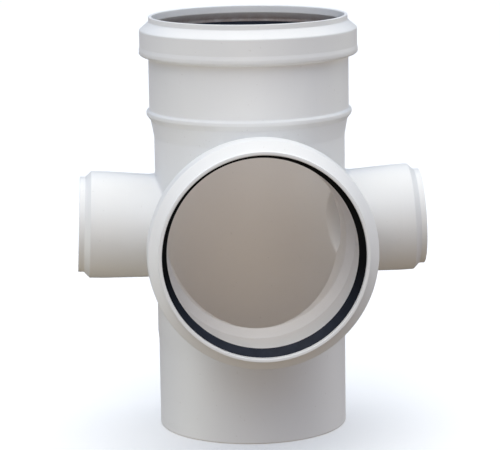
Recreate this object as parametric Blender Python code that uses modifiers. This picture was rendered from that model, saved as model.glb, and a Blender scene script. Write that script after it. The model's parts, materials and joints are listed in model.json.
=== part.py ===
"""Cross fitting for push-fit soil and waste pipe: 110 mm run and branch, two 50 mm inlets.

The fitting stands on its spigot. Z = 0 is the spigot's end face and +Z runs up the run to the
top socket. The 110 mm branch points to -Y, the inlets to -X and +X, and all three rise at 87.5
degrees to the run. The origin is under the middle of the bounding box, so the run's axis is at
Y = RUN_Y. Every length is in metres. One hollow moulding holds four loose rubber lip seals.
"""

import math
from dataclasses import dataclass

import bpy
from mathutils import Matrix

MM = 0.001

# Run, from the spigot's end face up
SPIGOT_RADIUS = 55.0 * MM
SPIGOT_LENGTH = 56.0 * MM
BODY_RADIUS = 55.5 * MM
BORE_RADIUS = 52.3 * MM
RUN_LENGTH = 241.5 * MM
CROSSING_HEIGHT = 116.5 * MM

# Branch and inlets, along their own axes from the run's axis
TILT = math.radians(87.5)
BRANCH_REACH = 116.6 * MM
INLET_REACH = 100.7 * MM
INLET_START = 26.0 * MM

# Outside of a 110 mm socket: radii, and depths from its mouth
LIP_RADIUS = 57.6 * MM
LIP_DEPTH = 3.0 * MM
BULGE_RADIUS = 63.0 * MM
BULGE_DEPTH = 7.7 * MM
RIDGE_RADIUS = 63.4 * MM
RIDGE_START = 17.2 * MM
RIDGE_SLOPE = 2.2 * MM
RIDGE_END = 20.9 * MM
SHELL_RADIUS = 58.0 * MM
UNDERCUT_END = 23.2 * MM
BEAD_RADIUS = 59.7 * MM
BEAD_START = 53.8 * MM
BEAD_END = 58.5 * MM
NECK_RADIUS = 57.3 * MM
NECK_START = 60.0 * MM
NECK_END = 69.8 * MM
BRANCH_ROOT_RADIUS = 55.2 * MM

# Outside of an inlet: radii, and depths from its mouth
INLET_LIP_RADIUS = 27.85 * MM
INLET_LIP_DEPTH = 3.3 * MM
INLET_RADIUS = 31.2 * MM
INLET_BULGE_DEPTH = 6.7 * MM
INLET_BULGE_END = 14.5 * MM
INLET_ROOT_RADIUS = 30.0 * MM
INLET_ROOT_DEPTH = 45.0 * MM

LARGE_STEPS = 48
INLET_STEPS = 36
ARC_STEPS = 3
OVERSHOOT = 5.0 * MM
SMOOTH_ANGLE = math.radians(35.0)

PLASTIC = ("white_polypropylene", (0.80, 0.80, 0.79, 1.0), 0.38)
RUBBER = ("seal_rubber", (0.021, 0.023, 0.027, 1.0), 0.62)


@dataclass(frozen=True)
class Cavity:
    """Inside of a push-fit socket and its lip seal: radii, and depths from the mouth."""

    mouth_radius: float
    lip_end: float
    groove_radius: float
    groove_start: float
    groove_end: float
    runout_end: float
    pipe_radius: float
    stop_depth: float
    stop_length: float
    bore_radius: float
    seal_front: float
    seal_radius: float
    seal_back: float
    seal_base: float
    notch_depth: float
    tip_radius: float
    tip_depth: float
    tip_thickness: float


LARGE = Cavity(
    mouth_radius=55.6 * MM,
    lip_end=4.2 * MM,
    groove_radius=60.4 * MM,
    groove_start=8.4 * MM,
    groove_end=17.9 * MM,
    runout_end=20.9 * MM,
    pipe_radius=55.35 * MM,
    stop_depth=58.0 * MM,
    stop_length=5.5 * MM,
    bore_radius=50.6 * MM,
    seal_front=9.6 * MM,
    seal_radius=60.1 * MM,
    seal_back=19.6 * MM,
    seal_base=57.2 * MM,
    notch_depth=13.5 * MM,
    tip_radius=52.5 * MM,
    tip_depth=15.0 * MM,
    tip_thickness=0.8 * MM,
)

SMALL = Cavity(
    mouth_radius=25.6 * MM,
    lip_end=3.6 * MM,
    groove_radius=28.7 * MM,
    groove_start=6.9 * MM,
    groove_end=13.4 * MM,
    runout_end=16.0 * MM,
    pipe_radius=25.25 * MM,
    stop_depth=44.5 * MM,
    stop_length=0.8 * MM,
    bore_radius=23.0 * MM,
    seal_front=7.6 * MM,
    seal_radius=28.4 * MM,
    seal_back=14.6 * MM,
    seal_base=26.5 * MM,
    notch_depth=9.9 * MM,
    tip_radius=23.6 * MM,
    tip_depth=10.6 * MM,
    tip_thickness=0.6 * MM,
)

# Half the difference between the part's reach to the front and to the back of the run's axis
FRONT_REACH = BRANCH_REACH * math.sin(TILT) + LIP_RADIUS * math.cos(TILT)
RUN_Y = (FRONT_REACH - RIDGE_RADIUS) / 2


def clear_scene():
    """Remove every object that is already in the file."""
    for obj in list(bpy.data.objects):
        bpy.data.objects.remove(obj, do_unlink=True)


def new_collection(name):
    """Return a new collection linked to the scene."""
    collection = bpy.data.collections.new(name)
    bpy.context.scene.collection.children.link(collection)
    return collection


def new_material(name, color, roughness):
    """Return a Principled material."""
    material = bpy.data.materials.new(name)
    material.use_nodes = True
    material.diffuse_color = color
    shader = material.node_tree.nodes["Principled BSDF"]
    shader.inputs["Base Color"].default_value = color
    shader.inputs["Roughness"].default_value = roughness
    shader.inputs["Metallic"].default_value = 0.0
    return material


def quarter_arc(center_radius, center_depth, radial, axial):
    """Points of a rounded underside, from its widest radius in to the end of the arc."""
    points = []
    for step in range(1, ARC_STEPS + 1):
        angle = 0.5 * math.pi * step / ARC_STEPS
        radius = center_radius + radial * math.cos(angle)
        points.append((radius, center_depth + axial * math.sin(angle)))
    return points


def large_shell():
    """Outside of a 110 mm socket from the mouth to the shell behind its seal bulge."""
    return [
        (LIP_RADIUS, 0.0),
        (LIP_RADIUS, LIP_DEPTH),
        (BULGE_RADIUS, BULGE_DEPTH),
        (BULGE_RADIUS, RIDGE_START),
        (RIDGE_RADIUS, RIDGE_START + RIDGE_SLOPE),
        (RIDGE_RADIUS, RIDGE_END),
    ] + quarter_arc(SHELL_RADIUS, RIDGE_END, RIDGE_RADIUS - SHELL_RADIUS, UNDERCUT_END - RIDGE_END)


def run_outside():
    """Outside of the run: top socket, bead, neck, body and spigot."""
    bead_slope = BEAD_RADIUS - SHELL_RADIUS
    return large_shell() + [
        (SHELL_RADIUS, BEAD_START),
        (BEAD_RADIUS, BEAD_START + 0.6 * bead_slope),
        (BEAD_RADIUS, BEAD_END - bead_slope),
        (NECK_RADIUS, NECK_START),
        (BODY_RADIUS, NECK_END),
        (BODY_RADIUS, RUN_LENGTH - SPIGOT_LENGTH),
        (SPIGOT_RADIUS, RUN_LENGTH - SPIGOT_LENGTH + OVERSHOOT),
        (SPIGOT_RADIUS, RUN_LENGTH),
    ]


def branch_outside():
    """Outside of the branch socket, tapering into the run's body."""
    return large_shell() + [
        (SHELL_RADIUS, BEAD_END),
        (BRANCH_ROOT_RADIUS, NECK_END),
        (BRANCH_ROOT_RADIUS, BRANCH_REACH),
    ]


def inlet_outside():
    """Outside of an inlet: plain lip, chamfer, seal bulge and a drafted root."""
    return [
        (INLET_LIP_RADIUS, 0.0),
        (INLET_LIP_RADIUS, INLET_LIP_DEPTH),
        (INLET_RADIUS, INLET_BULGE_DEPTH),
        (INLET_RADIUS, INLET_BULGE_END),
        (INLET_ROOT_RADIUS, INLET_ROOT_DEPTH),
        (INLET_ROOT_RADIUS, INLET_REACH - INLET_START),
    ]


def cavity_inside(cavity, bore_radius, end_depth):
    """Inside of a socket: lip, seal groove, pipe bore, pipe stop and the bore behind it."""
    runout = quarter_arc(
        cavity.pipe_radius,
        cavity.groove_end,
        cavity.groove_radius - cavity.pipe_radius,
        cavity.runout_end - cavity.groove_end,
    )
    return [
        (cavity.mouth_radius, -OVERSHOOT),
        (cavity.mouth_radius, cavity.lip_end),
        (cavity.groove_radius, cavity.groove_start),
        (cavity.groove_radius, cavity.groove_end),
        *runout,
        (cavity.pipe_radius, cavity.stop_depth),
        (bore_radius, cavity.stop_depth + cavity.stop_length),
        (bore_radius, end_depth),
    ]


def seal_section(cavity):
    """Closed section of a lip seal: a base in the groove and a lip that leans in and back."""
    return [
        (cavity.seal_radius, cavity.seal_front),
        (cavity.seal_radius, cavity.groove_end - cavity.tip_thickness),
        (cavity.seal_radius - 2 * cavity.tip_thickness, cavity.seal_back),
        (cavity.seal_base, cavity.seal_back),
        (cavity.seal_base, cavity.notch_depth),
        (cavity.tip_radius + 0.6 * cavity.tip_thickness, cavity.tip_depth + cavity.tip_thickness),
        (cavity.tip_radius, cavity.tip_depth),
    ]


def turned(name, section, steps, place, collection, closed=False):
    """Turn a section of (radius, depth) points about the local Z axis, the mouth at Z = 0."""
    points = [(radius, 0.0, -depth) for radius, depth in section]
    if not closed:
        points = [(0.0, 0.0, points[0][2])] + points + [(0.0, 0.0, points[-1][2])]
    edges = [(i, i + 1) for i in range(len(points) - 1)]
    if closed:
        edges.append((len(points) - 1, 0))
    mesh = bpy.data.meshes.new(name)
    mesh.from_pydata(points, edges, [])
    obj = bpy.data.objects.new(name, mesh)
    obj.matrix_world = place
    collection.objects.link(obj)
    screw = obj.modifiers.new("Turn", "SCREW")
    screw.steps = steps
    screw.render_steps = steps
    screw.use_merge_vertices = True
    screw.merge_threshold = 0.00001
    return obj


def half_step(steps):
    """Return the turn that sets the inside's facets between those of the outside."""
    return Matrix.Rotation(math.pi / steps, 4, "Z")


def combine(obj, other, operation):
    """Add a Boolean of the other object to this one, and show the other as a guide."""
    modifier = obj.modifiers.new(other.name, "BOOLEAN")
    modifier.operation = operation
    modifier.object = other
    modifier.solver = "EXACT"
    other.hide_render = True
    other.display_type = "WIRE"


def bake_smooth(obj, material):
    """Give the object its evaluated mesh, its material and smooth shading with sharp edges."""
    bpy.context.view_layer.update()
    evaluated = obj.evaluated_get(bpy.context.evaluated_depsgraph_get())
    mesh = bpy.data.meshes.new_from_object(evaluated)
    mesh.name = obj.name
    obj.modifiers.clear()
    obj.data = mesh
    mesh.shade_smooth()
    mesh.set_sharp_from_angle(angle=SMOOTH_ANGLE)
    mesh.materials.clear()
    mesh.materials.append(material)


def build_body(places, parts, cutters, material):
    """Build the moulding: four turned outsides joined, then four turned cavities cut out."""
    body = turned("fitting_body", run_outside(), LARGE_STEPS, places["run"], parts)
    outsides = [("branch", branch_outside(), LARGE_STEPS)]
    outsides += [(side, inlet_outside(), INLET_STEPS) for side in ("left_inlet", "right_inlet")]
    for name, section, steps in outsides:
        shell = turned(f"{name}_outside", section, steps, places[name], cutters)
        combine(body, shell, "UNION")
    run_cavity = cavity_inside(LARGE, BORE_RADIUS, RUN_LENGTH + OVERSHOOT)
    branch_cavity = cavity_inside(LARGE, LARGE.bore_radius, BRANCH_REACH)
    inlet_cavity = cavity_inside(SMALL, SMALL.bore_radius, INLET_REACH - INLET_START)
    cavities = [
        ("run", run_cavity, LARGE_STEPS),
        ("branch", branch_cavity, LARGE_STEPS),
        ("left_inlet", inlet_cavity, INLET_STEPS),
        ("right_inlet", inlet_cavity, INLET_STEPS),
    ]
    for name, section, steps in cavities:
        place = places[name] @ half_step(steps)
        cutter = turned(f"{name}_cavity", section, steps, place, cutters)
        combine(body, cutter, "DIFFERENCE")
    bake_smooth(body, material)


def build_seals(places, parts, material):
    """Build the loose lip seal of each socket."""
    seals = [
        ("run_socket_seal", "run", LARGE, LARGE_STEPS),
        ("branch_socket_seal", "branch", LARGE, LARGE_STEPS),
        ("left_inlet_seal", "left_inlet", SMALL, INLET_STEPS),
        ("right_inlet_seal", "right_inlet", SMALL, INLET_STEPS),
    ]
    for name, mouth, cavity, steps in seals:
        place = places[mouth] @ half_step(steps)
        seal = turned(name, seal_section(cavity), steps, place, parts, closed=True)
        bake_smooth(seal, material)


def mouth_places():
    """Return each mouth's frame: its origin in the mouth's plane, its Z axis pointing out."""
    run_axis = Matrix.Translation((0.0, RUN_Y, 0.0))
    crossing = run_axis @ Matrix.Translation((0.0, 0.0, CROSSING_HEIGHT))
    branch_reach = Matrix.Translation((0.0, 0.0, BRANCH_REACH))
    inlet_reach = Matrix.Translation((0.0, 0.0, INLET_REACH))
    return {
        "run": run_axis @ Matrix.Translation((0.0, 0.0, RUN_LENGTH)),
        "branch": crossing @ Matrix.Rotation(TILT, 4, "X") @ branch_reach,
        "left_inlet": crossing @ Matrix.Rotation(-TILT, 4, "Y") @ inlet_reach,
        "right_inlet": crossing @ Matrix.Rotation(TILT, 4, "Y") @ inlet_reach,
    }


def main():
    clear_scene()
    parts = new_collection("cross_fitting")
    cutters = new_collection("cutters")
    places = mouth_places()
    build_body(places, parts, cutters, new_material(*PLASTIC))
    build_seals(places, parts, new_material(*RUBBER))


main()
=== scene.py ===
"""Looks of the push-fit cross fitting: its moulded body and lip seals as fine meshes, and a studio.

The frame gives the places of the four mouths. Each mouth has its own frame, with its origin in the
mouth's plane and its Z axis pointing out of it, and outlines are (radius, depth, rounding) from
there, depth running into the fitting. Every length is in metres.
"""

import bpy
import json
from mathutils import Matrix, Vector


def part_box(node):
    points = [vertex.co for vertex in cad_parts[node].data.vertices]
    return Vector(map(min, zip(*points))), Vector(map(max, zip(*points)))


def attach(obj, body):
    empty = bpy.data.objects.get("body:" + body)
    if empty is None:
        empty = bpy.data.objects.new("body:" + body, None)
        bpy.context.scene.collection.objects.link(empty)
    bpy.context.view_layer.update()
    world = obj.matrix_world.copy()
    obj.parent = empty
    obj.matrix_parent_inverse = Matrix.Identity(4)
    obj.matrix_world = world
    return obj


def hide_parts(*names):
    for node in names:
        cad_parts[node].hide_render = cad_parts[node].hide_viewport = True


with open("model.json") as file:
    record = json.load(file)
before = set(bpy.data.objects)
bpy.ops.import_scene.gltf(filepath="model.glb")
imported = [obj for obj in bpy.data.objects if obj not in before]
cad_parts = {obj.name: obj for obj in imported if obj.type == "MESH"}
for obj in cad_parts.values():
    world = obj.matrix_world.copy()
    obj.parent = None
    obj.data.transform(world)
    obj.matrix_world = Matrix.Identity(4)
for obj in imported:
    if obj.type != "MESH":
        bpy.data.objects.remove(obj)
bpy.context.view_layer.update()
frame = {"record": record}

import json
import math
from dataclasses import dataclass

import bmesh
import bpy
import numpy as np
from mathutils import Matrix, Vector

MM = 0.001

# Run, from the spigot's end face up
SPIGOT_RADIUS = 55.0 * MM
SPIGOT_LENGTH = 56.0 * MM
SPIGOT_TAPER = 5.0 * MM
SPIGOT_EDGE = 0.8 * MM
BODY_RADIUS = 55.5 * MM
BORE_RADIUS = 52.3 * MM
CROSSING_HEIGHT = 116.5 * MM

# Outside of a 110 mm socket: radii, and depths from its mouth
LIP_RADIUS = 57.6 * MM
LIP_DEPTH = 3.0 * MM
BULGE_RADIUS = 63.0 * MM
BULGE_DEPTH = 7.7 * MM
RIDGE_RADIUS = 63.4 * MM
RIDGE_START = 17.2 * MM
RIDGE_SLOPE = 2.2 * MM
RIDGE_END = 20.9 * MM
SHELL_RADIUS = 58.0 * MM
UNDERCUT_END = 23.2 * MM
BEAD_RADIUS = 59.7 * MM
BEAD_START = 53.8 * MM
BEAD_END = 58.5 * MM
NECK_RADIUS = 57.3 * MM
NECK_START = 60.0 * MM
NECK_END = 69.8 * MM
BRANCH_ROOT_RADIUS = 55.2 * MM

# Depth of the bead's front slope for each unit of its height. Its back slope's is 1
BEAD_FRONT_SLOPE = 0.6

# Outside of an inlet: radii, and depths from its mouth
INLET_LIP_RADIUS = 27.85 * MM
INLET_LIP_DEPTH = 3.3 * MM
INLET_RADIUS = 31.2 * MM
INLET_BULGE_DEPTH = 6.7 * MM
INLET_BULGE_END = 14.5 * MM
INLET_ROOT_RADIUS = 30.0 * MM
INLET_ROOT_DEPTH = 45.0 * MM

# Distance from the run's axis at which the solids of the inlets start
INLET_START = 26.0 * MM

# Roundings of the outside's corners, from each mouth back
LIP_EDGE = 0.4 * MM
LIP_FOOT_EDGE = 0.7 * MM
BULGE_EDGE = 1.2 * MM
RIDGE_FOOT_EDGE = 0.8 * MM
RIDGE_EDGE = 0.5 * MM
BEAD_EDGE = 0.9 * MM
NECK_EDGE = 1.2 * MM
BODY_ROUNDING = 6.0 * MM
BRANCH_SHOULDER_ROUNDING = 3.0 * MM
INLET_LIP_FOOT_EDGE = 0.6 * MM
INLET_BULGE_EDGE = 0.9 * MM
INLET_SHOULDER_ROUNDING = 8.0 * MM
INLET_ROOT_ROUNDING = 20.0 * MM

# Roundings of the inside's corners and of the seals
MOUTH_FLARE = 0.6 * MM
INNER_LIP_EDGE = 0.5 * MM
GROOVE_EDGE = 1.2 * MM
UNDERSIDE_EDGE = 0.5 * MM
SEAL_FRONT_EDGE = 0.35 * MM
SEAL_BACK_EDGE = 0.4 * MM

# Radius of the rim where the run's outside and bore meet at the spigot's end
END_RIM = (BORE_RADIUS + SPIGOT_RADIUS) / 2

# Fineness of the turned meshes: steps round them, and the points along their outlines
LARGE_STEPS = 180
INLET_STEPS = 120
ROW_SPACING = 4.0 * MM
UNDERSIDE_STEPS = 8
ARC_STEP = math.radians(18.0)
SUPPORT = 0.15 * MM

# How far the cavities' solids stick out of the mouths, and within what distance points are one
OVERSHOOT = 5.0 * MM
WELD = 0.002 * MM
SEAM_WELD = 0.03 * MM

# Fillets where the branches meet the run. Within so many times their size of a seam, edges over
# a given length are halved, and the points are then moved onto the fillet, in so many rounds each
OUTSIDE_FILLET = 2.0 * MM
INSIDE_FILLET = 1.2 * MM
SEAM_REACH = 1.5
SEAM_EDGE = 0.9 * MM
HALVINGS = 3
PROJECTIONS = 4

# Limits of the arithmetic: points measured at a time, the distance that still counts as on the
# surface, and the least divisor
POINTS_AT_ONCE = 8192
ON_SURFACE = 0.001 * MM
TINY = 1e-12

# Depths from the mouths over which the inside turns from the outside's colour to the bore's painted
# shade
SHADE_START = 25.0 * MM
SHADE_END = 72.0 * MM

# How far before the end of a lip the painted shade of the seal groove behind it starts
GROOVE_SHADE_LEAD = 0.8 * MM


@dataclass(frozen=True)
class Cavity:
    """Inside of a push-fit socket and its lip seal: radii, and depths from the mouth."""

    mouth_radius: float
    lip_end: float
    groove_radius: float
    groove_start: float
    groove_end: float
    runout_end: float
    pipe_radius: float
    stop_depth: float
    stop_length: float
    stop_rounding: float
    bore_radius: float
    seal_front: float
    seal_radius: float
    seal_back: float
    seal_base: float
    notch_depth: float
    tip_radius: float
    tip_depth: float
    tip_thickness: float


LARGE = Cavity(
    mouth_radius=55.6 * MM,
    lip_end=4.2 * MM,
    groove_radius=60.4 * MM,
    groove_start=8.4 * MM,
    groove_end=17.9 * MM,
    runout_end=20.9 * MM,
    pipe_radius=55.35 * MM,
    stop_depth=58.0 * MM,
    stop_length=5.5 * MM,
    stop_rounding=1.6 * MM,
    bore_radius=50.6 * MM,
    seal_front=9.6 * MM,
    seal_radius=60.1 * MM,
    seal_back=19.6 * MM,
    seal_base=57.2 * MM,
    notch_depth=13.5 * MM,
    tip_radius=52.5 * MM,
    tip_depth=15.0 * MM,
    tip_thickness=0.8 * MM,
)

SMALL = Cavity(
    mouth_radius=25.6 * MM,
    lip_end=3.6 * MM,
    groove_radius=28.7 * MM,
    groove_start=6.9 * MM,
    groove_end=13.4 * MM,
    runout_end=16.0 * MM,
    pipe_radius=25.25 * MM,
    stop_depth=44.5 * MM,
    stop_length=0.8 * MM,
    stop_rounding=0.4 * MM,
    bore_radius=23.0 * MM,
    seal_front=7.6 * MM,
    seal_radius=28.4 * MM,
    seal_back=14.6 * MM,
    seal_base=26.5 * MM,
    notch_depth=9.9 * MM,
    tip_radius=23.6 * MM,
    tip_depth=10.6 * MM,
    tip_thickness=0.6 * MM,
)


# ---------------------------------------------------------------- places


def mouth_places():
    """Return each mouth's frame, and the run's length and the reaches of its branches.

    A mount's point is at mid-wall, so along some axes it lies beside its mouth's centre.
    """
    mounts = {mount["name"]: mount for mount in frame["record"]["mounts"]}
    low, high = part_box("run_socket_seal")
    run_y = (low.y + high.y) / 2
    crossing = Vector((0.0, run_y, CROSSING_HEIGHT))
    places, reaches = {}, {}
    for name, mount_name, beside in (
        ("run", "run_socket_mouth", (0, 1)),
        ("branch", "branch_socket_mouth", (0,)),
        ("left_inlet", "left_inlet_mouth", (1,)),
        ("right_inlet", "right_inlet_mouth", (1,)),
    ):
        center = Vector(mounts[mount_name]["pos_m"])
        out = Vector(mounts[mount_name]["axis"])
        for axis in beside:
            center[axis] = crossing[axis]
        turn = Vector((0.0, 0.0, 1.0)).rotation_difference(out).to_matrix().to_4x4()
        places[name] = Matrix.Translation(center) @ turn
        reaches[name] = (center - crossing).length
    reaches["run"] = places["run"].translation.z
    return places, reaches


# ---------------------------------------------------------------- outlines


def underside(start, end):
    """Outline points of a quarter arc that narrows from one (radius, depth) to a softened other."""
    (wide, top), (narrow, bottom) = start, end
    arc = [(wide, top, 0.0)]
    for step in range(1, UNDERSIDE_STEPS + 1):
        angle = 0.5 * math.pi * step / UNDERSIDE_STEPS
        radius = narrow + (wide - narrow) * math.cos(angle)
        depth = top + (bottom - top) * math.sin(angle)
        arc.append((radius, depth, 0.0 if step < UNDERSIDE_STEPS else UNDERSIDE_EDGE))
    return arc


def rim_radius(cavity, lip_radius):
    """Radius on a lip's flat end face where the outside and the inside of the moulding meet."""
    return (cavity.mouth_radius + MOUTH_FLARE + lip_radius - LIP_EDGE) / 2


def large_shell():
    """Outside of a 110 mm socket from the mouth to the shell behind its seal bulge."""
    return [
        (rim_radius(LARGE, LIP_RADIUS), 0.0, 0.0),
        (LIP_RADIUS, 0.0, LIP_EDGE),
        (LIP_RADIUS, LIP_DEPTH, LIP_FOOT_EDGE),
        (BULGE_RADIUS, BULGE_DEPTH, BULGE_EDGE),
        (BULGE_RADIUS, RIDGE_START, RIDGE_FOOT_EDGE),
        (RIDGE_RADIUS, RIDGE_START + RIDGE_SLOPE, RIDGE_EDGE),
        *underside((RIDGE_RADIUS, RIDGE_END), (SHELL_RADIUS, UNDERCUT_END)),
    ]


def run_outside(length):
    """Outside of the run: top socket, bead, neck, body and spigot."""
    bead_height = BEAD_RADIUS - SHELL_RADIUS
    return large_shell() + [
        (SHELL_RADIUS, BEAD_START, BEAD_EDGE),
        (BEAD_RADIUS, BEAD_START + BEAD_FRONT_SLOPE * bead_height, BEAD_EDGE),
        (BEAD_RADIUS, BEAD_END - bead_height, BEAD_EDGE),
        (NECK_RADIUS, NECK_START, NECK_EDGE),
        (BODY_RADIUS, NECK_END, BODY_ROUNDING),
        (BODY_RADIUS, length - SPIGOT_LENGTH, 0.0),
        (SPIGOT_RADIUS, length - SPIGOT_LENGTH + SPIGOT_TAPER, 0.0),
        (SPIGOT_RADIUS, length, SPIGOT_EDGE),
        (END_RIM, length, 0.0),
    ]


def branch_outside(reach):
    """Outside of the branch socket, tapering into the run's body."""
    return large_shell() + [
        (SHELL_RADIUS, BEAD_END, BRANCH_SHOULDER_ROUNDING),
        (BRANCH_ROOT_RADIUS, NECK_END, BODY_ROUNDING),
        (BRANCH_ROOT_RADIUS, reach, 0.0),
    ]


def inlet_outside(reach):
    """Outside of an inlet: plain lip, chamfer, seal bulge and a drafted root."""
    return [
        (rim_radius(SMALL, INLET_LIP_RADIUS), 0.0, 0.0),
        (INLET_LIP_RADIUS, 0.0, LIP_EDGE),
        (INLET_LIP_RADIUS, INLET_LIP_DEPTH, INLET_LIP_FOOT_EDGE),
        (INLET_RADIUS, INLET_BULGE_DEPTH, INLET_BULGE_EDGE),
        (INLET_RADIUS, INLET_BULGE_END, INLET_SHOULDER_ROUNDING),
        (INLET_ROOT_RADIUS, INLET_ROOT_DEPTH, INLET_ROOT_ROUNDING),
        (INLET_ROOT_RADIUS, reach - INLET_START, 0.0),
    ]


def cavity_inside(cavity, lip_radius, bore_radius, end):
    """Inside of a socket: flared lip, seal groove, pipe bore, pipe stop and the bore behind it."""
    groove_back = (cavity.groove_radius, cavity.groove_end)
    rim = rim_radius(cavity, lip_radius)
    return [
        (rim, -OVERSHOOT, 0.0),
        (rim, 0.0, 0.0),
        (cavity.mouth_radius, 0.0, MOUTH_FLARE),
        (cavity.mouth_radius, cavity.lip_end, INNER_LIP_EDGE),
        (cavity.groove_radius, cavity.groove_start, GROOVE_EDGE),
        *underside(groove_back, (cavity.pipe_radius, cavity.runout_end)),
        (cavity.pipe_radius, cavity.stop_depth, cavity.stop_rounding),
        (bore_radius, cavity.stop_depth + cavity.stop_length, cavity.stop_rounding),
        *end,
    ]


def through_end(length):
    """End of the run's bore, rounded out at the spigot's end face."""
    return [
        (BORE_RADIUS, length, SPIGOT_EDGE),
        (END_RIM, length, 0.0),
        (END_RIM, length + OVERSHOOT, 0.0),
    ]


def seal_section(cavity):
    """Closed section of a lip seal: a base in the groove and a lip that leans in and back."""
    tip = cavity.tip_thickness
    base_edge, tip_edge = 0.8 * tip, 0.45 * tip
    return [
        (cavity.seal_radius, cavity.seal_front, SEAL_FRONT_EDGE),
        (cavity.seal_radius, cavity.groove_end - tip, base_edge),
        (cavity.seal_radius - 2 * tip, cavity.seal_back, base_edge),
        (cavity.seal_base, cavity.seal_back, SEAL_BACK_EDGE),
        (cavity.seal_base, cavity.notch_depth, base_edge),
        (cavity.tip_radius + 0.6 * tip, cavity.tip_depth + tip, tip_edge),
        (cavity.tip_radius, cavity.tip_depth, tip_edge),
    ]


# ---------------------------------------------------------------- turned meshes


def rounded(outline):
    """Points of an outline with its corners turned into arcs. An open outline has sharp ends."""
    count = len(outline)
    points = []
    for index, (radius, depth, rounding) in enumerate(outline):
        corner = np.array((radius, depth))
        if rounding == 0.0:
            points.append(corner)
            continue
        before = np.array(outline[index - 1][:2])
        after = np.array(outline[(index + 1) % count][:2])
        into = (corner - before) / np.linalg.norm(corner - before)
        out = (after - corner) / np.linalg.norm(after - corner)
        turn = math.atan2(into[0] * out[1] - into[1] * out[0], float(into @ out))
        setback = rounding * math.tan(abs(turn) / 2)
        side = np.array((-into[1], into[0])) * math.copysign(rounding, turn)
        center = corner - into * setback + side
        points.append(corner - into * (setback + SUPPORT))
        steps = max(2, math.ceil(abs(turn) / ARC_STEP))
        for angle in np.linspace(0.0, abs(turn), steps + 1):
            points.append(center - side * math.cos(angle) + into * rounding * math.sin(angle))
        points.append(corner + out * (setback + SUPPORT))
    return np.array(points)


def with_rows(points, closed):
    """Outline points with extra ones along its long straight stretches."""
    ends = np.roll(points, -1, axis=0) if closed else points[1:]
    rows = []
    for start, end in zip(points, ends):
        parts = max(1, round(float(np.linalg.norm(end - start)) / ROW_SPACING))
        rows += [start + (end - start) * part / parts for part in range(parts)]
    if not closed:
        rows.append(points[-1])
    return np.array(rows)


def turned(name, outline, steps, place, closed=False):
    """Turn outline points about the local Z axis into a closed solid."""
    points = with_rows(outline, closed)
    angles = 2 * math.pi * np.arange(steps) / steps
    ring = np.stack([np.cos(angles), np.sin(angles)], axis=1)
    rows = len(points)
    vertices = np.empty((rows, steps, 3))
    vertices[:, :, :2] = points[:, 0, None, None] * ring[None]
    vertices[:, :, 2] = -points[:, 1, None]
    faces = []
    for row in range(rows if closed else rows - 1):
        this, below = row * steps, (row + 1) % rows * steps
        for step in range(steps):
            following = (step + 1) % steps
            faces.append((this + step, below + step, below + following, this + following))
    if not closed:
        faces.append(tuple(range(steps)))
        faces.append(tuple(range(rows * steps - 1, (rows - 1) * steps - 1, -1)))
    mesh = bpy.data.meshes.new(name)
    mesh.from_pydata(vertices.reshape(-1, 3).tolist(), [], faces)
    mesh.transform(place)
    return new_object(name, mesh)


def new_object(name, mesh):
    """Return a new object in the scene that shows the mesh."""
    obj = bpy.data.objects.new(name, mesh)
    bpy.context.scene.collection.objects.link(obj)
    return obj


def unite(obj, others):
    """Join the other objects' solids to the object's, and remove them."""
    for other in others:
        modifier = obj.modifiers.new(other.name, "BOOLEAN")
        modifier.operation = "UNION"
        modifier.object = other
        modifier.solver = "MANIFOLD"
    bpy.context.view_layer.update()
    evaluated = obj.evaluated_get(bpy.context.evaluated_depsgraph_get())
    mesh = bpy.data.meshes.new_from_object(evaluated)
    obj.modifiers.clear()
    obj.data = mesh
    for other in others:
        bpy.data.objects.remove(other)


# ---------------------------------------------------------------- fillets where branches meet


def in_frame(place, points):
    """Return points in a mouth's frame, and their distances from its axis."""
    matrix = np.array(place.inverted())
    local = points @ matrix[:3, :3].T + matrix[:3, 3]
    return local, np.hypot(local[:, 0], local[:, 1])


def section_distance(outline, points):
    """Distance of (radius, depth) points to a solid's section, and the direction it grows in.

    It is negative inside. A point on the section takes the direction of the nearest side's normal.
    """
    start = np.array([(0.0, outline[0][1]), *outline, (0.0, outline[-1][1])])
    step = np.roll(start, -1, axis=0) - start
    offset = points[:, None] - start
    share = np.clip((offset * step).sum(axis=2) / (step**2).sum(axis=1), 0.0, 1.0)
    gap = offset - share[..., None] * step
    square = (gap**2).sum(axis=2)
    nearest = square.argmin(axis=1)
    index = np.arange(len(nearest))
    crosses = (offset[..., 1] < 0) != (offset[..., 1] < step[:, 1])
    with np.errstate(divide="ignore", invalid="ignore"):
        reach = offset[..., 1] / step[:, 1] * step[:, 0]
    inside = (crosses & (offset[..., 0] < reach)).sum(axis=1) % 2 == 1
    sign = np.where(inside, -1.0, 1.0)
    length = np.sqrt(square[index, nearest])
    normal = np.stack([step[nearest, 1], -step[nearest, 0]], axis=1)
    normal /= np.linalg.norm(normal, axis=1)[:, None]
    away = sign[:, None] * gap[index, nearest] / np.maximum(length, TINY)[:, None]
    return sign * length, np.where(length[:, None] > ON_SURFACE, away, normal)


def signed_distance(solid, points):
    """Distance of points to a turned solid, negative inside it, and the direction it grows in."""
    outline, place = solid
    local, radius = in_frame(place, points)
    query = np.stack([radius, -local[:, 2]], axis=1)
    distance, flat_slope = np.empty(len(query)), np.empty((len(query), 2))
    for first in range(0, len(query), POINTS_AT_ONCE):
        part = slice(first, first + POINTS_AT_ONCE)
        distance[part], flat_slope[part] = section_distance(outline, query[part])
    around = local[:, :2] / np.maximum(radius, TINY)[:, None]
    slope = np.concatenate([around * flat_slope[:, :1], -flat_slope[:, 1:]], axis=1)
    return distance, slope @ np.array(place)[:3, :3].T


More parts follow.
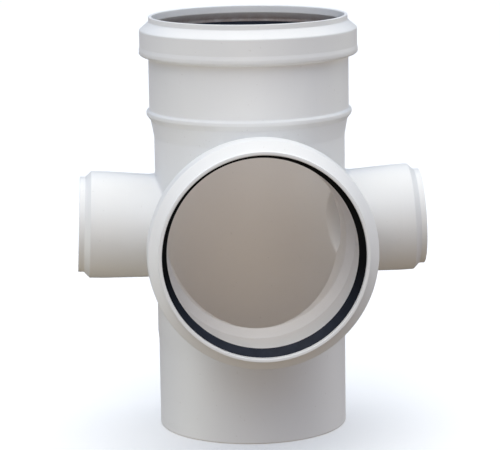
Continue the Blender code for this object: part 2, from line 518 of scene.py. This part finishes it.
def round_union(solids, points, fillet):
    """Distance to the joined solids with fillets where they meet, and the direction it grows in.

    A fillet shrinks to nothing where the two surfaces run into each other smoothly.
    """
    total, slope = signed_distance(solids[0], points)
    for solid in solids[1:]:
        other, other_slope = signed_distance(solid, points)
        reach = fillet * np.clip(1.0 - (slope * other_slope).sum(axis=1), 0.0, 1.0)
        near = np.maximum(reach - total, 0.0)
        other_near = np.maximum(reach - other, 0.0)
        length = np.hypot(near, other_near)
        blended = near[:, None] * slope + other_near[:, None] * other_slope
        blended /= np.maximum(np.linalg.norm(blended, axis=1), TINY)[:, None]
        closer = np.where((total < other)[:, None], slope, other_slope)
        slope = np.where(length[:, None] > 0.0, blended, closer)
        total = np.maximum(reach, np.minimum(total, other)) - length
    return total, slope


def near_seam(solids, points, reach):
    """Tell which points are within reach of two of the solids."""
    distances = np.stack([signed_distance(solid, points)[0] for solid in solids])
    return np.sort(distances, axis=0)[1] < reach


def halve(edge):
    """Split an edge in the middle, and each triangle beside it in two."""
    triangles = list(edge.link_faces)
    middle = bmesh.utils.edge_split(edge, edge.verts[0], 0.5)[1]
    middle.tag = True
    for face in triangles:
        corner = next(loop for loop in face.loops if loop.vert == middle)
        bmesh.utils.face_split(face, middle, corner.link_loop_next.link_loop_next.vert)


def fillet_seams(obj, solids, fillet):
    """Refine the mesh along the seams of the joined solids and move it onto their fillets."""
    grid = bmesh.new()
    grid.from_mesh(obj.data)
    bmesh.ops.dissolve_degenerate(grid, dist=SEAM_WELD, edges=grid.edges)
    bmesh.ops.triangulate(grid, faces=grid.faces)
    points = np.array([vertex.co for vertex in grid.verts])
    for vertex, near in zip(grid.verts, near_seam(solids, points, SEAM_REACH * fillet)):
        vertex.tag = bool(near)
    for _ in range(HALVINGS):
        seam_edges = [
            edge
            for edge in grid.edges
            if edge.verts[0].tag and edge.verts[1].tag and edge.calc_length() > SEAM_EDGE
        ]
        for edge in sorted(seam_edges, key=bmesh.types.BMEdge.calc_length, reverse=True):
            halve(edge)
    moved = [vertex for vertex in grid.verts if vertex.tag]
    points = np.array([vertex.co for vertex in moved])
    for _ in range(PROJECTIONS):
        distance, slope = round_union(solids, points, fillet)
        points -= distance[:, None] * slope
    for vertex, point in zip(moved, points):
        vertex.co = point
    grid.to_mesh(obj.data)
    grid.free()


# ---------------------------------------------------------------- pieces


def joined(outlines, places, fillet, name):
    """Turn the four outlines, join them and round the seams between them."""
    solids, objects = [], []
    for mouth, outline in outlines.items():
        steps = INLET_STEPS if "inlet" in mouth else LARGE_STEPS
        section = rounded(outline)
        solids.append((section, places[mouth]))
        objects.append(turned(f"{name}_{mouth}", section, steps, places[mouth]))
    unite(objects[0], objects[1:])
    fillet_seams(objects[0], solids, fillet)
    return objects[0]


def rims(places):
    """Return the place and the radius of each rim where the moulding's two skins meet."""
    large = rim_radius(LARGE, LIP_RADIUS)
    small = rim_radius(SMALL, INLET_LIP_RADIUS)
    bottom = Matrix.Translation((0.0, places["run"].translation.y, 0.0))
    return [
        (places["run"], large),
        (places["branch"], large),
        (places["left_inlet"], small),
        (places["right_inlet"], small),
        (bottom @ Matrix.Rotation(math.pi, 4, "X"), END_RIM),
    ]


def open_mouths(obj, places, inward):
    """Delete the faces that close a skin at its rims or past them, and turn the inner skin over."""
    grid = bmesh.new()
    grid.from_mesh(obj.data)
    points = np.array([vertex.co for vertex in grid.verts])
    past = np.zeros(len(points), bool)
    for place, rim in rims(places):
        local, radius = in_frame(place, points)
        at_rim = radius > rim - WELD if inward else radius < rim + WELD
        past |= (local[:, 2] > -WELD) & at_rim
    closing = [face for face in grid.faces if all(past[vertex.index] for vertex in face.verts)]
    bmesh.ops.delete(grid, geom=closing, context="FACES")
    if inward:
        bmesh.ops.reverse_faces(grid, faces=grid.faces)
    grid.to_mesh(obj.data)
    grid.free()


def mark_inside(obj, places, inner):
    """Store how deep each point lies in the fitting, for the bore's painted shade, and how much
    painted shade of the seal groove it has, from 0 to 1.

    Both are 0 all over the outer skin.
    """
    points = np.array([vertex.co for vertex in obj.data.vertices])
    deep = np.ones(len(points))
    groove = np.zeros(len(points))
    for mouth, place in places.items():
        cavity = SMALL if "inlet" in mouth else LARGE
        local, radius = in_frame(place, points)
        depth = -local[:, 2]
        deep = np.minimum(deep, np.interp(depth, (SHADE_START, SHADE_END), (0.0, 1.0)))
        groove_shade_start = cavity.lip_end - GROOVE_SHADE_LEAD
        marks = (groove_shade_start, cavity.groove_start, cavity.groove_end, cavity.runout_end)
        within = radius < cavity.groove_radius + WELD
        groove = np.maximum(groove, within * np.interp(depth, marks, (0.0, 1.0, 1.0, 0.0)))
    for name, share in (("deep_painted_shade", deep), ("groove_painted_shade", groove)):
        layer = obj.data.attributes.new(name, "FLOAT", "POINT")
        layer.data.foreach_set("value", (share * inner).astype(np.float32))


def weld_skins(outer, inner):
    """Join the inner skin to the outer one at the rims, into one closed mesh."""
    grid = bmesh.new()
    grid.from_mesh(outer.data)
    grid.from_mesh(inner.data)
    rim_vertices = [vertex for vertex in grid.verts if vertex.is_boundary]
    bmesh.ops.remove_doubles(grid, verts=rim_vertices, dist=WELD)
    grid.to_mesh(outer.data)
    grid.free()
    bpy.data.objects.remove(inner)


def build_body(places, reaches, material):
    """Build the moulding: the skin of its joined outsides and that of its joined cavities."""
    outsides = {
        "run": run_outside(reaches["run"]),
        "branch": branch_outside(reaches["branch"]),
        "left_inlet": inlet_outside(reaches["left_inlet"]),
        "right_inlet": inlet_outside(reaches["right_inlet"]),
    }
    branch_end = [(LARGE.bore_radius, reaches["branch"], 0.0)]
    inlet_end = [(SMALL.bore_radius, reaches["left_inlet"] - INLET_START, 0.0)]
    inlet_cavity = cavity_inside(SMALL, INLET_LIP_RADIUS, SMALL.bore_radius, inlet_end)
    cavities = {
        "run": cavity_inside(LARGE, LIP_RADIUS, BORE_RADIUS, through_end(reaches["run"])),
        "branch": cavity_inside(LARGE, LIP_RADIUS, LARGE.bore_radius, branch_end),
        "left_inlet": inlet_cavity,
        "right_inlet": inlet_cavity,
    }
    body = joined(outsides, places, OUTSIDE_FILLET, "outside")
    inside = joined(cavities, places, INSIDE_FILLET, "inside")
    for skin, inner in ((body, False), (inside, True)):
        open_mouths(skin, places, inward=inner)
        mark_inside(skin, places, inner)
    weld_skins(body, inside)
    body.name = "moulded_body"
    finish_piece(body, material, "fitting_body")


def build_seals(places, material):
    """Build the loose lip seal of each socket."""
    for mouth, node, cavity, steps in (
        ("run", "run_socket_seal", LARGE, LARGE_STEPS),
        ("branch", "branch_socket_seal", LARGE, LARGE_STEPS),
        ("left_inlet", "left_inlet_seal", SMALL, INLET_STEPS),
        ("right_inlet", "right_inlet_seal", SMALL, INLET_STEPS),
    ):
        section = rounded(seal_section(cavity))
        seal = turned(f"{mouth}_lip_seal", section, steps, places[mouth], closed=True)
        finish_piece(seal, material, node)


def finish_piece(obj, material, node):
    """Shade the piece smooth, give it its material and hide the CAD node that it stands for."""
    obj.data.shade_smooth()
    obj.data.materials.clear()
    obj.data.materials.append(material)
    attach(obj, "root")
    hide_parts(node)


# ---------------------------------------------------------------- materials

# The plastic on the outside, its painted shade deep inside and in the seal grooves, and what lies
# on it
PALE_PLASTIC = (0.868, 0.864, 0.850, 1.0)
CREAM_PLASTIC = (0.845, 0.838, 0.820, 1.0)
FLOW_MARK = (0.835, 0.832, 0.822, 1.0)
# Painted shade of the deep bores, warmer and darker than the plastic, standing in for the light
# bounced about inside
BORE_PAINTED_SHADE = (0.840, 0.792, 0.758, 1.0)
# Painted shade of the seal grooves, a warm brown where the groove walls lie in shade
GROOVE_PAINTED_SHADE = (0.46, 0.33, 0.27, 1.0)
SPECK = (0.52, 0.49, 0.45, 1.0)
WORN_EDGE = (0.62, 0.61, 0.59, 1.0)

# The rubber, what lies on it, and the bluish painted reflection on its upward faces
DARK_RUBBER = (0.0015, 0.0015, 0.0018, 1.0)
BLOOMED_RUBBER = (0.0035, 0.0035, 0.0040, 1.0)
# Painted reflection of the cool light from above, on the faces that point up
UPWARD_PAINTED_REFLECTION = (0.024, 0.029, 0.044, 1.0)
LINT = (0.09, 0.09, 0.09, 1.0)


class Nodes:
    """Shorthand for building one material's node tree on the object's own coordinates."""

    def __init__(self, name):
        self.material = bpy.data.materials.new(name)
        self.material.use_nodes = True
        self.tree = self.material.node_tree
        self.shader = self.tree.nodes["Principled BSDF"]
        self.place = self.add("ShaderNodeTexCoord").outputs["Object"]

    def add(self, kind, **inputs):
        """Add a node and fill its inputs."""
        node = self.tree.nodes.new(kind)
        self.fill(node, **inputs)
        return node

    def fill(self, node, **inputs):
        """Give a node's inputs their values. In their names, _ stands for a space."""
        for name, value in inputs.items():
            self.feed(node.inputs[name.replace("_", " ")], value)

    def feed(self, socket, value):
        """Link another node's output to a socket, or set the socket's own number or colour."""
        if isinstance(value, bpy.types.NodeSocket):
            self.tree.links.new(value, socket)
        else:
            socket.default_value = value

    def noise(self, scale, detail=2.0, roughness=0.5, stretch=(1.0, 1.0, 1.0), at=(0.0, 0.0, 0.0)):
        """Return a noise from 0 to 1. The scale is in features per metre."""
        mapping = self.add("ShaderNodeMapping", Vector=self.place, Scale=stretch, Location=at)
        texture = self.add(
            "ShaderNodeTexNoise",
            Vector=mapping.outputs["Vector"],
            Scale=scale,
            Detail=detail,
            Roughness=roughness,
        )
        return texture.outputs["Fac"]

    def remap(self, value, low, high, to_low=0.0, to_high=1.0):
        """Return the value with low to high turned into to_low to to_high, and clamped."""
        node = self.add("ShaderNodeMapRange", Value=value, From_Min=low, From_Max=high)
        self.fill(node, To_Min=to_low, To_Max=to_high)
        return node.outputs["Result"]

    def math(self, operation, first, second):
        """Return a sum, product or other result of two values."""
        node = self.add("ShaderNodeMath")
        node.operation = operation
        self.feed(node.inputs[0], first)
        self.feed(node.inputs[1], second)
        return node.outputs["Value"]

    def blend(self, share, first, second):
        """Return the first colour turned towards the second by the share."""
        node = self.add("ShaderNodeMix")
        node.data_type = "RGBA"
        self.feed(node.inputs["Factor"], share)
        self.feed(node.inputs["A"], first)
        self.feed(node.inputs["B"], second)
        return node.outputs["Result"]

    def bump(self, height, distance, strength, below=None):
        """Return the normal bumped by a height from 0 to 1 over a distance in metres."""
        node = self.add("ShaderNodeBump", Height=height, Strength=strength, Distance=distance)
        if below is not None:
            self.feed(node.inputs["Normal"], below)
        return node.outputs["Normal"]

    def attribute(self, name):
        """Return a number stored in the mesh."""
        node = self.add("ShaderNodeAttribute")
        node.attribute_name = name
        return node.outputs["Fac"]

    def edge_wear(self, low, high):
        """Return a share that grows on the outer edges."""
        return self.remap(self.add("ShaderNodeNewGeometry").outputs["Pointiness"], low, high)


def polypropylene():
    """White moulded polypropylene: a satin skin with faint flow marks, scuffs and handled edges,
    and painted shade deep in the bores and in the seal grooves.
    """
    nodes = Nodes("satin_white_plastic")
    cloud = nodes.remap(nodes.noise(14.0, detail=3.0), 0.35, 0.65)
    flow = nodes.remap(nodes.noise(9.0, detail=4.0, stretch=(6.0, 6.0, 1.0)), 0.4, 0.62)
    specks = nodes.remap(nodes.noise(520.0, detail=1.0, at=(0.3, 0.1, 0.7)), 0.735, 0.79)
    scuffs = nodes.noise(70.0, detail=6.0, roughness=0.75, stretch=(1.0, 1.0, 3.5))
    scuffs = nodes.remap(scuffs, 0.6, 0.72)
    patches = nodes.remap(scuffs, 0.0, 0.6, 0.25, 1.0)
    wear = nodes.math("MULTIPLY", nodes.edge_wear(0.515, 0.56), patches)
    # Painted shade: a warm brown, broken up by noise, in the seal grooves where their walls lie in
    # shade
    groove_shade_paint = nodes.remap(nodes.noise(160.0, detail=5.0, roughness=0.7), 0.3, 0.6, 0.4, 0.8)
    groove_shade_paint = nodes.math("MULTIPLY", groove_shade_paint, nodes.attribute("groove_painted_shade"))
    color = nodes.blend(cloud, CREAM_PLASTIC, PALE_PLASTIC)
    color = nodes.blend(nodes.math("MULTIPLY", flow, 0.35), color, FLOW_MARK)
    # Painted shade: deep in the bores the plastic turns warmer and darker, standing in for the
    # light bounced about inside
    color = nodes.blend(nodes.attribute("deep_painted_shade"), color, BORE_PAINTED_SHADE)
    color = nodes.blend(groove_shade_paint, color, GROOVE_PAINTED_SHADE)
    color = nodes.blend(nodes.math("MULTIPLY", specks, 0.2), color, SPECK)
    color = nodes.blend(nodes.math("MULTIPLY", wear, 0.22), color, WORN_EDGE)
    sheen = nodes.remap(nodes.noise(38.0, detail=4.0, at=(0.2, 0.6, 0.4)), 0.3, 0.7, 0.36, 0.46)
    rough = nodes.math("ADD", sheen, nodes.math("MULTIPLY", scuffs, 0.10))
    skin = nodes.bump(nodes.noise(1500.0, roughness=0.6), 0.00006, 0.35)
    sink = nodes.bump(nodes.noise(42.0, detail=1.5, at=(0.9, 0.2, 0.5)), 0.00045, 0.30, below=skin)
    grazes = nodes.noise(900.0, detail=1.0, stretch=(0.07, 0.07, 1.0), at=(0.4, 0.8, 0.1))
    grazes = nodes.math("MULTIPLY", nodes.remap(grazes, 0.66, 0.74), scuffs)
    normal = nodes.bump(grazes, 0.00003, 0.5, below=sink)
    nodes.fill(nodes.shader, Base_Color=color, Roughness=rough, Normal=normal)
    nodes.fill(nodes.shader, Specular_IOR_Level=0.42)
    return nodes.material


def rubber():
    """Black elastomer: a fine matt grain, with a bluish painted reflection of the light from above
    on the parts that face up.
    """
    nodes = Nodes("black_seal_rubber")
    bloom = nodes.remap(nodes.noise(60.0, detail=5.0, roughness=0.65), 0.45, 0.75)
    lint = nodes.remap(nodes.noise(700.0, detail=1.0, at=(0.7, 0.3, 0.2)), 0.74, 0.8)
    normal = nodes.add("ShaderNodeNewGeometry").outputs["Normal"]
    facing = nodes.add("ShaderNodeSeparateXYZ", Vector=normal)
    patches = nodes.remap(nodes.noise(210.0, detail=4.0, roughness=0.6), 0.3, 0.7, 0.7, 1.0)
    # Painted reflection: the faces that point up are lifted, in patches, to a bluish grey as if
    # they mirrored the cool light from above
    upward_reflection_paint = nodes.math("MULTIPLY", nodes.remap(facing.outputs["Z"], 0.12, 0.5), patches)
    color = nodes.blend(bloom, DARK_RUBBER, BLOOMED_RUBBER)
    color = nodes.blend(upward_reflection_paint, color, UPWARD_PAINTED_REFLECTION)
    color = nodes.blend(nodes.math("MULTIPLY", lint, 0.3), color, LINT)
    rough = nodes.remap(nodes.noise(240.0, detail=3.0), 0.3, 0.7, 0.42, 0.56)
    grain = nodes.bump(nodes.noise(2600.0), 0.00005, 0.4)
    nodes.fill(nodes.shader, Base_Color=color, Roughness=rough, Normal=grain)
    nodes.fill(nodes.shader, Specular_IOR_Level=0.12)
    return nodes.material


# ---------------------------------------------------------------- studio

# Camera: distance from the crossing and height above it, its turns, the lens and the sensor in
# millimetres, and how far it sees
CAMERA_DISTANCE = 1.3772
CAMERA_HEIGHT = 0.2627
CAMERA_AZIMUTH = math.radians(3.68)
CAMERA_PITCH = math.radians(10.75)
CAMERA_ROLL = math.radians(-0.81)
CAMERA_YAW = math.radians(0.017)
CAMERA_LENS = 171.8
CAMERA_SENSOR = 36.0
CAMERA_REACH = 50.0

FLOOR_SIZE = 40.0
FLOOR_COLOR = (0.90, 0.90, 0.90, 1.0)
FLOOR_GLOW = 0.12

# Colours of the light from all round, by its height: from straight below at 0 to straight above
# at 1, with the horizon at 0.5
SKY = (
    (0.0, (0.36, 0.29, 0.20, 1.0)),
    (0.25, (0.02, 0.02, 0.02, 1.0)),
    (0.44, (0.71, 0.65, 0.64, 1.0)),
    (0.56, (0.02, 0.02, 0.03, 1.0)),
    (0.75, (0.03, 0.19, 0.50, 1.0)),
    (1.0, (2.30, 2.26, 2.14, 1.0)),
)

# Height near the top of the spigot
FOOT_HEIGHT = 50.0 * MM

# Softboxes: name, height of the point on the run's axis that it faces, degrees to the right of
# front and above level that it stands at, distance, side, and watts of red, green and blue
SOFTBOXES = (
    ("key_softbox", CROSSING_HEIGHT, -15, 38, 1.5, 0.8, (3.9, 3.8, 3.5)),
    ("front_softbox", CROSSING_HEIGHT, 0, 10, 1.5, 0.8, (2.6, 2.2, 1.6)),
    ("rear_softbox", CROSSING_HEIGHT, 115, 10, 1.5, 0.8, (2.8, 2.8, 2.3)),
    ("left_foot_softbox", FOOT_HEIGHT, -80, -10, 0.45, 0.3, (0.34, 0.35, 0.31)),
    ("right_foot_softbox", FOOT_HEIGHT, 105, -15, 0.4, 0.3, (0.09, 0.08, 0.08)),
)


def add_camera(crossing):
    """Add the camera that sees the fitting from the front, a little from above and the left."""
    data = bpy.data.cameras.new("camera")
    data.lens = CAMERA_LENS
    data.sensor_width = CAMERA_SENSOR
    data.sensor_fit = "HORIZONTAL"
    data.clip_end = CAMERA_REACH
    camera = bpy.data.objects.new("camera", data)
    bpy.context.scene.collection.objects.link(camera)
    back = Vector((-math.sin(CAMERA_AZIMUTH), -math.cos(CAMERA_AZIMUTH), 0.0))
    place = crossing + back * CAMERA_DISTANCE + Vector((0.0, 0.0, CAMERA_HEIGHT))
    turn = Matrix.Rotation(CAMERA_YAW - CAMERA_AZIMUTH, 4, "Z")
    turn = turn @ Matrix.Rotation(math.pi / 2 - CAMERA_PITCH, 4, "X")
    turn = turn @ Matrix.Rotation(CAMERA_ROLL, 4, "Z")
    camera.matrix_world = Matrix.Translation(place) @ turn
    bpy.context.scene.camera = camera


def add_floor():
    """Add the pale floor. It doesn't light the fitting, which the sky lights from below too."""
    bpy.ops.mesh.primitive_plane_add(size=FLOOR_SIZE)
    floor = bpy.context.object
    floor.name = "studio_floor"
    nodes = Nodes("pale_floor")
    nodes.fill(nodes.shader, Base_Color=FLOOR_COLOR, Roughness=0.9, Specular_IOR_Level=0.0)
    nodes.fill(nodes.shader, Emission_Color=(1.0, 1.0, 1.0, 1.0), Emission_Strength=FLOOR_GLOW)
    floor.data.materials.append(nodes.material)
    floor.visible_diffuse = False
    floor.visible_glossy = False
    floor.visible_shadow = False


def add_sky():
    """Light the studio from all round with the colours of the sky."""
    world = bpy.data.worlds.new("studio")
    bpy.context.scene.world = world
    world.use_nodes = True
    nodes, links = world.node_tree.nodes, world.node_tree.links
    where = nodes.new("ShaderNodeTexCoord")
    split = nodes.new("ShaderNodeSeparateXYZ")
    spread = nodes.new("ShaderNodeMapRange")
    spread.inputs["From Min"].default_value = -1.0
    ramp = nodes.new("ShaderNodeValToRGB")
    stops = ramp.color_ramp.elements
    stops[0].color, stops[1].color = SKY[0][1], SKY[-1][1]
    for height, color in SKY[1:-1]:
        stops.new(height).color = color
    links.new(where.outputs["Generated"], split.inputs[0])
    links.new(split.outputs["Z"], spread.inputs["Value"])
    links.new(spread.outputs["Result"], ramp.inputs["Fac"])
    links.new(ramp.outputs["Color"], nodes["Background"].inputs["Color"])


def add_softbox(name, aim, azimuth, elevation, distance, size, power):
    """Add a square softbox that faces a point."""
    turn, rise = math.radians(azimuth), math.radians(elevation)
    level = Vector((math.sin(turn), -math.cos(turn), 0.0))
    away = level * math.cos(rise) + Vector((0.0, 0.0, math.sin(rise)))
    data = bpy.data.lights.new(name, "AREA")
    data.size = size
    data.energy = max(power)
    data.color = [part / max(power) for part in power]
    light = bpy.data.objects.new(name, data)
    light.location = aim + away * distance
    light.rotation_euler = (-away).to_track_quat("-Z", "Y").to_euler()
    bpy.context.scene.collection.objects.link(light)


def main():
    """Build the fitting's pieces and the studio round them."""
    places, reaches = mouth_places()
    crossing = Vector((0.0, places["run"].translation.y, CROSSING_HEIGHT))
    add_camera(crossing)
    build_body(places, reaches, polypropylene())
    build_seals(places, rubber())
    add_floor()
    add_sky()
    for name, height, *setting in SOFTBOXES:
        add_softbox(name, Vector((0.0, crossing.y, height)), *setting)
    bpy.context.scene.view_settings.view_transform = "Standard"


main()
